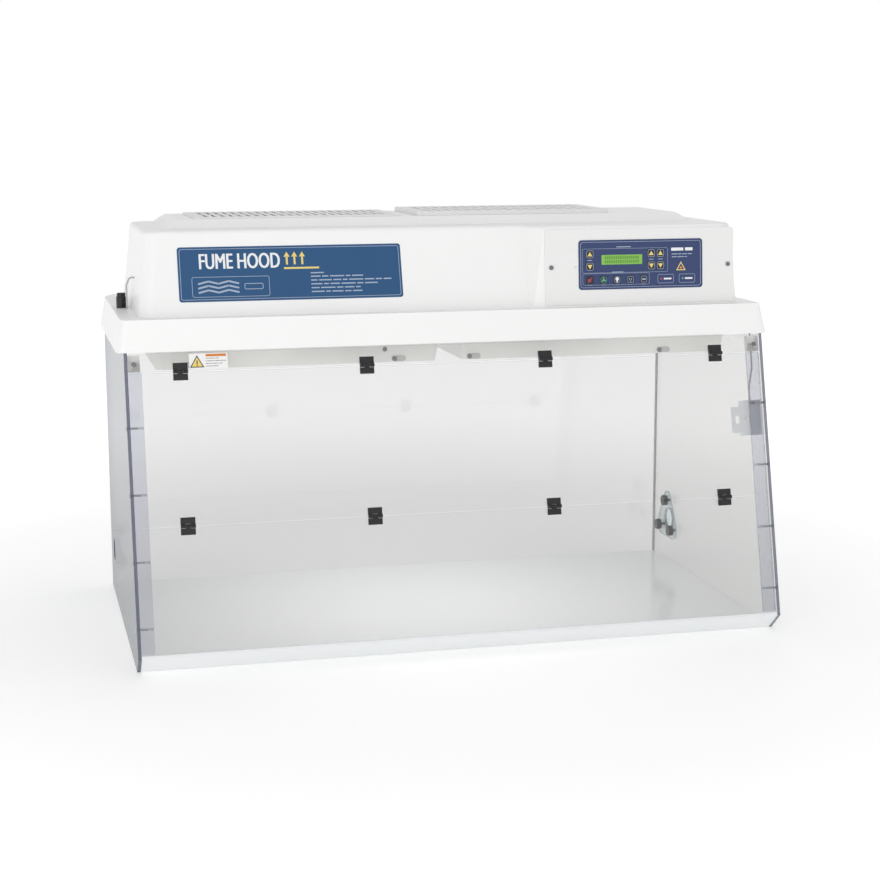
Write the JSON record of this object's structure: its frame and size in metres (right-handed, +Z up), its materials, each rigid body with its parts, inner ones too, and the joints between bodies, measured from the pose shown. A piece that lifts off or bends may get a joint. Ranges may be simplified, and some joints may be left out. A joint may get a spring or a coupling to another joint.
{
  "type": "fume hood",
  "caption": "Benchtop ductless fume hood: clear cabinet with two folding front doors and a white tray under a moulded top with filters, blowers and a keypad.",
  "frame": {"origin": "on the bench, at the centre of the whole footprint", "axes": "+X to the right seen from the front, +Y to the back, +Z up"},
  "size_m": [1.219, 0.6866, 0.78],
  "materials": {
    "clear_sheet": "clear polycarbonate sheet with polished faces",
    "white_moulding": "white moulded plastic with a fine satin texture",
    "white_nylon": "moulded nylon",
    "white_metal": "white powder coat",
    "galvanised": "galvanised sheet",
    "black_nylon": "black moulded nylon",
    "black_knob": "black moulded knob",
    "clip_plastic": "clear moulded tab",
    "steel_screws": "bright steel",
    "lead_jacket": "soft PVC jacket",
    "blue_label": "printed polyester film",
    "blue_keypad": "printed polyester film",
    "key_caps": "embossed key faces",
    "lcd": "green liquid crystal window",
    "circuit_board": "solder-masked board",
    "filter_fleece": "pleated fleece",
    "filter_frame": "bonded carbon granules in a frame",
    "motor_metal": "painted motor shell",
    "wheel_plastic": "moulded wheel",
    "lamp_glass": "phosphor-coated tube"
  },
  "bodies": {
    "cabinet": {"back_panel": "clear_sheet", "blower_housings": "galvanised", "blower_motors": "motor_metal", "ceiling_panel": "white_moulding", "control_plate": "white_metal", "controller_board": "circuit_board", "corner_blocks": "white_nylon", "door_strips": "clear_sheet", "exhaust_cover": "white_metal", "exhaust_grille": "white_metal", "filter_plenums": "white_moulding", "front_header": "clear_sheet", "front_label": "blue_label", "interlock_switch": "white_nylon", "keypad_overlay": "blue_keypad", "lamp_reflector": "white_metal", "lamp_tube": "lamp_glass", "lcd_module": "lcd", "leads": "lead_jacket", "main_filters": "filter_frame", "port_covers": "clear_sheet", "power_inlet": "black_nylon", "prefilters": "filter_fleece", "sensor_fitting": "black_nylon", "side_panel_left": "clear_sheet", "side_panel_right": "clear_sheet", "strip_screws": "steel_screws", "top_housing": "white_moulding", "trim_screws": "steel_screws", "upper_hinge_fixed_leaves": "black_nylon", "work_tray": "white_moulding"},
    "upper_door": {"upper_door_panel": "clear_sheet", "upper_hinge_door_leaves": "black_nylon", "mid_hinge_top_leaves": "black_nylon"},
    "lower_door": {"lower_door_panel": "clear_sheet", "mid_hinge_bottom_leaves": "black_nylon"},
    "aux_key": {"key_aux": "key_caps"},
    "fan_key": {"key_fan": "key_caps"},
    "light_key": {"key_light": "key_caps"},
    "menu_down_key": {"key_menu_down": "key_caps"},
    "menu_up_key": {"key_menu_up": "key_caps"},
    "mute_key": {"key_mute": "key_caps"},
    "outlet_key": {"key_outlet": "key_caps"},
    "set_down_key": {"key_set_down": "key_caps"},
    "set_up_key": {"key_set_up": "key_caps"},
    "value_down_key": {"key_value_down": "key_caps"},
    "value_up_key": {"key_value_up": "key_caps"},
    "left_knob_1": {"port_knob_left_1": "black_knob"},
    "left_knob_2": {"port_knob_left_2": "black_knob"},
    "left_knob_3": {"port_knob_left_3": "black_knob"},
    "right_knob_1": {"port_knob_right_1": "black_knob"},
    "right_knob_2": {"port_knob_right_2": "black_knob"},
    "right_knob_3": {"port_knob_right_3": "black_knob"},
    "clip_1": {"filter_clip_1": "clip_plastic"},
    "clip_2": {"filter_clip_2": "clip_plastic"},
    "clip_3": {"filter_clip_3": "clip_plastic"},
    "clip_4": {"filter_clip_4": "clip_plastic"},
    "left_fan_wheel": {"impeller_left": "wheel_plastic"},
    "right_fan_wheel": {"impeller_right": "wheel_plastic"},
    "switch_plunger": {"interlock_plunger": "white_nylon"}
  },
  "joints": [
    {"name": "upper_door_hinge", "type": "hinge", "parent": "cabinet", "child": "upper_door", "pos_m": [0, -0.23161, 0.51734], "axis": [-1, 0, 0], "range_deg": [0, 165]},
    {"name": "lower_door_hinge", "type": "hinge", "parent": "upper_door", "child": "lower_door", "pos_m": [0, -0.29458, 0.25376], "axis": [-1, 0, 0], "range_deg": [0, 180]},
    {"name": "aux_press", "type": "slide", "parent": "cabinet", "child": "aux_key", "axis": [0, 0.9973, -0.0731], "range_m": [0, 0.0005], "stiffness_N_per_m": 800},
    {"name": "fan_press", "type": "slide", "parent": "cabinet", "child": "fan_key", "axis": [0, 0.9973, -0.0731], "range_m": [0, 0.0005], "stiffness_N_per_m": 800},
    {"name": "light_press", "type": "slide", "parent": "cabinet", "child": "light_key", "axis": [0, 0.9973, -0.0731], "range_m": [0, 0.0005], "stiffness_N_per_m": 800},
    {"name": "menu_down_press", "type": "slide", "parent": "cabinet", "child": "menu_down_key", "axis": [0, 0.9973, -0.0731], "range_m": [0, 0.0005], "stiffness_N_per_m": 800},
    {"name": "menu_up_press", "type": "slide", "parent": "cabinet", "child": "menu_up_key", "axis": [0, 0.9973, -0.0731], "range_m": [0, 0.0005], "stiffness_N_per_m": 800},
    {"name": "mute_press", "type": "slide", "parent": "cabinet", "child": "mute_key", "axis": [0, 0.9973, -0.0731], "range_m": [0, 0.0005], "stiffness_N_per_m": 800},
    {"name": "outlet_press", "type": "slide", "parent": "cabinet", "child": "outlet_key", "axis": [0, 0.9973, -0.0731], "range_m": [0, 0.0005], "stiffness_N_per_m": 800},
    {"name": "set_down_press", "type": "slide", "parent": "cabinet", "child": "set_down_key", "axis": [0, 0.9973, -0.0731], "range_m": [0, 0.0005], "stiffness_N_per_m": 800},
    {"name": "set_up_press", "type": "slide", "parent": "cabinet", "child": "set_up_key", "axis": [0, 0.9973, -0.0731], "range_m": [0, 0.0005], "stiffness_N_per_m": 800},
    {"name": "value_down_press", "type": "slide", "parent": "cabinet", "child": "value_down_key", "axis": [0, 0.9973, -0.0731], "range_m": [0, 0.0005], "stiffness_N_per_m": 800},
    {"name": "value_up_press", "type": "slide", "parent": "cabinet", "child": "value_up_key", "axis": [0, 0.9973, -0.0731], "range_m": [0, 0.0005], "stiffness_N_per_m": 800},
    {"name": "left_knob_1_turn", "type": "hinge", "parent": "cabinet", "child": "left_knob_1", "pos_m": [-0.59, 0.23575, 0.136], "axis": [-1, 0, 0], "continuous": true},
    {"name": "left_knob_2_turn", "type": "hinge", "parent": "cabinet", "child": "left_knob_2", "pos_m": [-0.59, 0.27039, 0.076], "axis": [-1, 0, 0], "continuous": true},
    {"name": "left_knob_3_turn", "type": "hinge", "parent": "cabinet", "child": "left_knob_3", "pos_m": [-0.59, 0.20111, 0.076], "axis": [-1, 0, 0], "continuous": true},
    {"name": "right_knob_1_turn", "type": "hinge", "parent": "cabinet", "child": "right_knob_1", "pos_m": [0.59, 0.23575, 0.136], "axis": [1, 0, 0], "continuous": true},
    {"name": "right_knob_2_turn", "type": "hinge", "parent": "cabinet", "child": "right_knob_2", "pos_m": [0.59, 0.27039, 0.076], "axis": [1, 0, 0], "continuous": true},
    {"name": "right_knob_3_turn", "type": "hinge", "parent": "cabinet", "child": "right_knob_3", "pos_m": [0.59, 0.20111, 0.076], "axis": [1, 0, 0], "continuous": true},
    {"name": "clip_1_turn", "type": "hinge", "parent": "cabinet", "child": "clip_1", "pos_m": [-0.489, -0.17125, 0.5195], "axis": [0, -1, 0], "range_deg": [0, 90]},
    {"name": "clip_2_turn", "type": "hinge", "parent": "cabinet", "child": "clip_2", "pos_m": [-0.104, -0.17125, 0.5195], "axis": [0, -1, 0], "range_deg": [0, 90]},
    {"name": "clip_3_turn", "type": "hinge", "parent": "cabinet", "child": "clip_3", "pos_m": [0.038, -0.17125, 0.5195], "axis": [0, -1, 0], "range_deg": [0, 90]},
    {"name": "clip_4_turn", "type": "hinge", "parent": "cabinet", "child": "clip_4", "pos_m": [0.41, -0.17125, 0.5195], "axis": [0, -1, 0], "range_deg": [0, 90]},
    {"name": "left_fan_spin", "type": "hinge", "parent": "cabinet", "child": "left_fan_wheel", "pos_m": [-0.281, 0.03975, 0.65], "axis": [0, 0, 1], "continuous": true},
    {"name": "right_fan_spin", "type": "hinge", "parent": "cabinet", "child": "right_fan_wheel", "pos_m": [0.281, 0.03975, 0.65], "axis": [0, 0, 1], "continuous": true},
    {"name": "switch_press", "type": "slide", "parent": "cabinet", "child": "switch_plunger", "axis": [0, -0.9726, 0.2324], "range_m": [-0.002, 0], "stiffness_N_per_m": 300}
  ]
}
